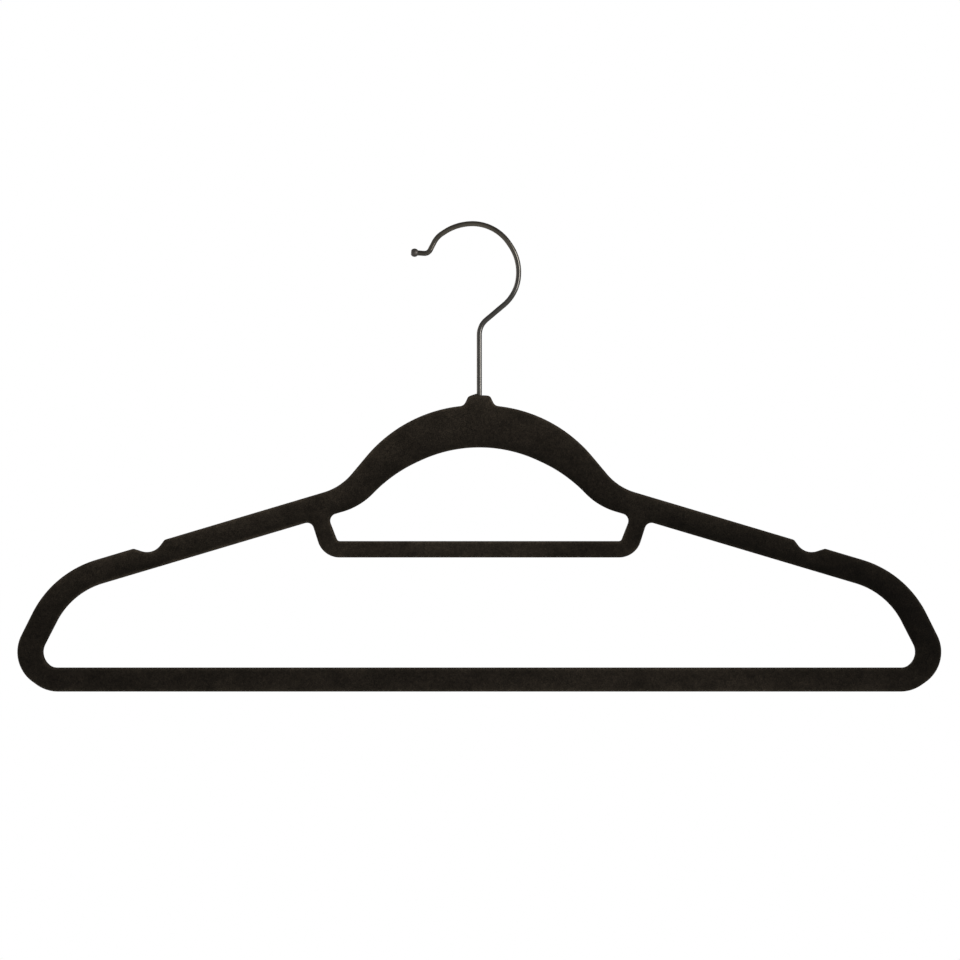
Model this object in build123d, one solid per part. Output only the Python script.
from build123d import *
import os
from math import acos, cos, hypot, tan

# Slim flocked clothes hanger with a swivelling wire hook.
# Millimetres, +Z up. X runs along the hanger, Y is its thickness, and the
# front faces -Y. The origin lies on the hook's swivel axis, at the middle of
# the thickness, level with the underside of the trouser bar.

# ---------------------------------------------------------------- body sizes
BODY_T = 5.0          # thickness of the coated body
FLOCK = 0.5           # thickness of the flock coat
EDGE_R = 1.6          # rounding of the coated body's long edges
CORE_EDGE_R = 1.0     # rounding of the bare moulding's long edges
CORNER_R = 1.8        # small outside corners of the outline

ARM_TOP_Z = 99.54     # where the arch's side and the arm's top edge would meet
BAR_TOP_Z = 11.65     # top of the trouser bar
TIE_BAR_H = 8.0       # height of the tie bar
TIE_TOP_Z = 73.30     # top of the tie bar
TIE_LOW_Z = TIE_TOP_Z - TIE_BAR_H
ARCH_Z = 118.90       # highest point of the window under the arch
NECK_Z = 144.0        # top of the neck

# Outlines of the coated body, right half, as (x, z, corner radius). Each list
# runs with the material on its left once it is mirrored to a closed loop.
OUTSIDE = [           # from the underside of the trouser bar up to the neck
    (210.90, 0.00, 18.0),      # foot of the end limb
    (229.94, 13.66, 18.0),     # toe of the end limb
    (207.86, 57.91, 51.0),     # shoulder
    (168.58, 69.62, CORNER_R), # outer lip of the strap notch
    (158.92, 66.54, 8.4),      # bottom of the strap notch
    (153.30, 73.99, CORNER_R), # inner corner of the strap notch
    (67.64, ARM_TOP_Z, 28.2),  # hollow between arm and arch
    (37.25, 135.82, 69.5),     # arch
    (7.62, 139.29, 3.0),       # root of the neck
    (5.20, NECK_Z, CORNER_R),  # top corner of the neck
]
TROUSER_WINDOW = [    # from the tie bar's underside out and down to the trouser bar
    (76.11, TIE_LOW_Z, 11.0),  # lower corner of the tie bar's drop
    (81.73, 82.97, 3.3),       # drop meets arm
    (198.66, 48.12, 36.9),     # inside of the shoulder
    (214.30, 17.56, 8.0),      # inside of the toe
    (208.10, BAR_TOP_Z, 5.5),  # trouser bar meets end limb
]
TIE_WINDOW = [        # from the top of the arch's inside out and down to the tie bar
    (14.78, ARCH_Z, None),     # crown of the arch, radius fills the half width
    (42.32, 106.22, 71.0),     # flank of the arch
    (57.91, 90.14, 33.5),      # flare into the drop
    (73.80, 85.45, 3.5),       # upper corner of the drop
    (69.06, TIE_TOP_Z, 1.5),   # lower corner of the drop
]
WINDOW_OVERCUT = 1.0  # how far window cutters pass each face of the body

# Neck boss: elliptical sections (z, half width in x, half depth in y), coated
BOSS = [
    (127.5, 4.3, 2.0),
    (132.0, 5.1, 3.05),
    (136.5, 5.6, 3.80),
    (140.5, 5.4, 3.95),
    (142.4, 4.9, 3.85),
    (143.5, 4.5, 3.50),
    (NECK_Z, 3.8, 2.90),
]
BOSS_CAP_Z = 142.0    # sections above this also drop by the coat's thickness

# ---------------------------------------------------------------- hook sizes
WIRE_R = 2.5 / 2           # hook wire, 2.5 mm stock
SOCKET_CLEAR = 0.05        # radial running clearance of the wire in its socket
SOCKET_FLOOR_Z = 126.6
RIB_Z = (131.5, 132.5)     # snap rib moulded in the socket
RIB_R = 1.00               # bore through the rib
RIB_OVERLAP = 0.2          # rib bore's reach into the socket at each end
RIB_GAP = 0.1              # axial play of the rib in the wire's groove
GROOVE_Z = (RIB_Z[0] - RIB_GAP, RIB_Z[1] + RIB_GAP)  # groove rolled into the wire
GROOVE_R = RIB_R - SOCKET_CLEAR
GROOVE_OVERLAP = 0.3       # groove core's reach into the wire at each end
WIRE_END_Z = SOCKET_FLOOR_Z + 0.4
WIRE_END_CHAMFER = 0.4
COAT_HOLE_R = 1.60         # hole in the coat around the wire
HOLE_REACH = 3.0           # cutters' reach past the neck's top

# Hook centreline, in the XZ plane: corners (x, z, bend radius) above the shank
HOOK = [
    (0.00, 178.30, 9.54),      # bend above the shank
    (18.60, 193.97, 20.10),    # lower right of the loop
    (19.60, 210.92, 23.40),    # right side
    (6.56, 230.01, 21.54),     # crown, right
    (-12.50, 226.78, 23.80),   # crown, left
    (-20.63, 221.59, 11.47),   # loop to nose
    (-24.84, 213.37, 3.09),    # nose to tip
]
TIP = (-31.55, 213.85)     # centre of the ball, (x, z)
BALL_R = 2.05
BALL_HALF = 1.70           # half length between the ball's flats
BALL_SHOULDER_R = 0.45     # rounding around the flats
BORE_PAST_CENTRE = 0.6     # wire and bore run this far past the ball's centre
BORE_REACH = 5.0           # bore cutter's reach from the centre towards the wire

TOLERANCE = 1e-4           # lengths below this count as zero


# ---------------------------------------------------------------- outlines
def direction(start, end):
    """Unit vector from start to end."""
    dx, dz = end[0] - start[0], end[1] - start[1]
    length = hypot(dx, dz)
    return dx / length, dz / length


def turn(before, corner, after):
    """Unit directions into and out of a corner, and its signed turn."""
    into = direction(before, corner)
    out = direction(corner, after)
    cross = into[0] * out[1] - into[1] * out[0]
    angle = acos(max(-1.0, min(1.0, into[0] * out[0] + into[1] * out[1])))
    return into, out, angle if cross > 0 else -angle


def neighbours(loop):
    """Each corner of a closed loop between the ones before and after it."""
    return [(loop[i - 1], loop[i], loop[(i + 1) % len(loop)]) for i in range(len(loop))]


def mirrored_loop(half):
    """Closes a half outline by mirroring it in x."""
    points = list(half) + [(-x, z, radius) for x, z, radius in reversed(half)]
    loop = []
    for before, (x, z, radius), after in neighbours(points):
        if radius is None:  # the arc runs up to the middle line
            _, _, angle = turn(before, (x, z), after)
            radius = abs(x) / tan(abs(angle) / 2)
        loop.append((x, z, radius))
    return loop


def inset(loop, depth):
    """The loop moved into the material on its left, arcs kept concentric."""
    moved = []
    for before, corner, after in neighbours(loop):
        into, out, angle = turn(before, corner, after)
        normal_in, normal_out = (-into[1], into[0]), (-out[1], out[0])
        shift = depth / (1 + normal_in[0] * normal_out[0] + normal_in[1] * normal_out[1])
        x = corner[0] + shift * (normal_in[0] + normal_out[0])
        z = corner[1] + shift * (normal_in[1] + normal_out[1])
        radius = corner[2] - depth if angle > 0 else corner[2] + depth
        moved.append((x, z, radius))
    return moved


def corner_arc(before, corner, after):
    """Start, middle and end of the arc that rounds a corner (x, z, radius)."""
    into, out, angle = turn(before, corner, after)
    radius = corner[2]
    setback = radius * tan(abs(angle) / 2)
    start = (corner[0] - into[0] * setback, corner[1] - into[1] * setback)
    end = (corner[0] + out[0] * setback, corner[1] + out[1] * setback)
    inward = direction(into, out)
    depth = radius / cos(angle / 2) - radius
    middle = (corner[0] + inward[0] * depth, corner[1] + inward[1] * depth)
    return start, middle, end


def in_xz(point):
    return (point[0], 0, point[1])


def arc_edge(arc):
    return ThreePointArc(*[in_xz(point) for point in arc])


def line_edge(start, end):
    return Line(in_xz(start), in_xz(end))


def slab(loop, half_t):
    """A plate inside a loop of lines and arcs, centred on the XZ plane."""
    arcs = [corner_arc(*corners) for corners in neighbours(loop)]
    edges = []
    for _, arc, next_arc in neighbours(arcs):
        end, next_start = arc[2], next_arc[0]
        edges.append(arc_edge(arc))
        if hypot(next_start[0] - end[0], next_start[1] - end[1]) > TOLERANCE:
            edges.append(line_edge(end, next_start))
    return extrude(make_face(Wire(edges)), amount=half_t, dir=(0, 1, 0), both=True)


def rod(radius, bottom, top):
    return Pos(0, 0, (bottom + top) / 2) * Cylinder(radius, top - bottom)


# ---------------------------------------------------------------- body
def body(depth, edge_r):
    """The hanger body, its surface lying depth below that of the coat."""
    half_t = BODY_T / 2 - depth
    plate = slab(inset(mirrored_loop(OUTSIDE), depth), half_t)
    for window in (TROUSER_WINDOW, TIE_WINDOW):
        plate -= slab(inset(mirrored_loop(window), depth), half_t + WINDOW_OVERCUT)
    rims = [
        edge for edge in plate.edges()
        if abs(abs(edge.center().Y) - half_t) < TOLERANCE
    ]
    plate = fillet(rims, edge_r)

    sections = []
    for z, half_x, half_y in BOSS:
        level = z - depth if z > BOSS_CAP_Z else z
        plane = Plane((0, 0, level), x_dir=(1, 0, 0), z_dir=(0, 0, 1))
        sections.append(plane * Ellipse(half_x - depth, half_y - depth))
    return plate + loft(sections)


def make_frame_core(core_blank):
    """The moulding, with a ribbed socket for the hook wire."""
    socket_r = WIRE_R + SOCKET_CLEAR
    socket = (
        rod(socket_r, SOCKET_FLOOR_Z, RIB_Z[0])
        + rod(RIB_R, RIB_Z[0] - RIB_OVERLAP, RIB_Z[1] + RIB_OVERLAP)
        + rod(socket_r, RIB_Z[1], NECK_Z + HOLE_REACH)
    )
    return core_blank - socket


def make_flock_cover(core_blank):
    """The coat around the moulding, open where the wire enters the neck."""
    hole = rod(COAT_HOLE_R, NECK_Z - HOLE_REACH, NECK_Z + HOLE_REACH)
    return body(0.0, EDGE_R) - core_blank - hole


# ---------------------------------------------------------------- hook
def make_hook_wire(tip_dir):
    """The bent wire, with a groove and a chamfered lower end."""
    corners = [(0.0, GROOVE_Z[1])] + HOOK + [TIP]
    reached = corners[0]
    path = []
    for i in range(1, len(corners) - 1):
        arc = corner_arc(*corners[i - 1:i + 2])
        path += [line_edge(reached, arc[0]), arc_edge(arc)]
        reached = arc[2]
    wire_tip = (
        TIP[0] + tip_dir[0] * BORE_PAST_CENTRE,
        TIP[1] + tip_dir[1] * BORE_PAST_CENTRE,
    )
    path.append(line_edge(reached, wire_tip))
    start = Plane((0, 0, GROOVE_Z[1]), x_dir=(1, 0, 0), z_dir=(0, 0, 1))
    bar = sweep(start * Circle(WIRE_R), path=Wire(path))

    stub = rod(WIRE_R, WIRE_END_Z, GROOVE_Z[0])
    stub = chamfer(stub.edges().sort_by(Axis.Z)[0], WIRE_END_CHAMFER)
    groove_core = rod(GROOVE_R, GROOVE_Z[0] - GROOVE_OVERLAP, GROOVE_Z[1] + GROOVE_OVERLAP)
    return bar + groove_core + stub


def make_hook_tip_ball(tip_dir):
    """A ball flattened at both ends, with a blind bore for the wire's end."""
    ball = Sphere(BALL_R) & Cylinder(BALL_R + 1, 2 * BALL_HALF)
    ball = fillet(ball.edges().filter_by(GeomType.CIRCLE), BALL_SHOULDER_R)
    bore = rod(WIRE_R, -BORE_PAST_CENTRE, BORE_REACH)
    # The plane's normal points back along the wire.
    plane = Plane(in_xz(TIP), x_dir=(0, 1, 0), z_dir=(-tip_dir[0], 0, -tip_dir[1]))
    return plane * (ball - bore)


# ---------------------------------------------------------------- write
core_blank = body(FLOCK, CORE_EDGE_R)
tip_dir = direction(HOOK[-1], TIP)
parts = {
    "frame_core": make_frame_core(core_blank),
    "flock_cover": make_flock_cover(core_blank),
    "hook_wire": make_hook_wire(tip_dir),
    "hook_tip_ball": make_hook_tip_ball(tip_dir),
}

os.makedirs("parts", exist_ok=True)
for name, shape in parts.items():
    export_step(shape, os.path.join("parts", name + ".step"))
